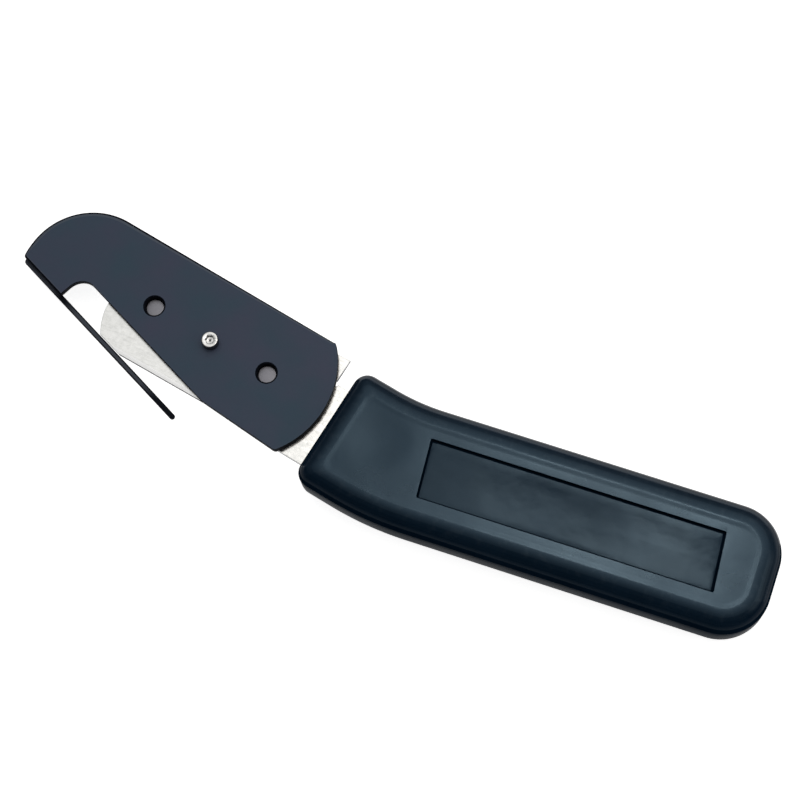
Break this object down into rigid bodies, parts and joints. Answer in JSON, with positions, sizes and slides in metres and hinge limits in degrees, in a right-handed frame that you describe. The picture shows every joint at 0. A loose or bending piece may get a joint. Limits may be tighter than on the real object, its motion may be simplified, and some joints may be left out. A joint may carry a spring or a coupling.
{
  "type": "guarded hook knife",
  "caption": "Bent moulded handle with a bare label inlay, steel blade behind a black guard plate with a hook slot and a thin guide finger, seated on pins and held by a socket screw",
  "frame": {"origin": "middle of the straight grip, on the flat back of the handle", "axes": "+X along the grip to the butt, +Y across to the spine, +Z from the flat back up to the labelled face"},
  "size_m": [0.2143, 0.0587, 0.018],
  "materials": {
    "handle": "satin, fine moulded grain, navy black",
    "label": "satin, smooth, navy black",
    "blade": "ground and finely mottled, bright",
    "guard": "black anodised, satin",
    "finger": "blackened steel, satin",
    "small_screws": "blackened steel, satin",
    "clamp_screw": "turned, bright",
    "clamp_bar": "milled, satin",
    "pins": "ground ends, dull"
  },
  "bodies": {
    "knife": {"handle": "handle", "label_plate": "label", "blade": "blade", "clamp_bar": "clamp_bar", "front_pin": "pins", "rear_pin": "pins"},
    "guard": {"guard_plate": "guard", "guide_finger": "finger", "finger_screws": "small_screws"},
    "screw": {"clamp_screw": "clamp_screw"}
  },
  "joints": [
    {"name": "guard_lift", "type": "slide", "parent": "knife", "child": "guard", "axis": [0, 0, 1], "range_m": [0, 0.02]},
    {"name": "clamp_screw_turn", "type": "hinge", "parent": "guard", "child": "screw", "pos_m": [-0.11134, 0.01613, 0.01205], "axis": [0, 0, 1], "continuous": true}
  ]
}
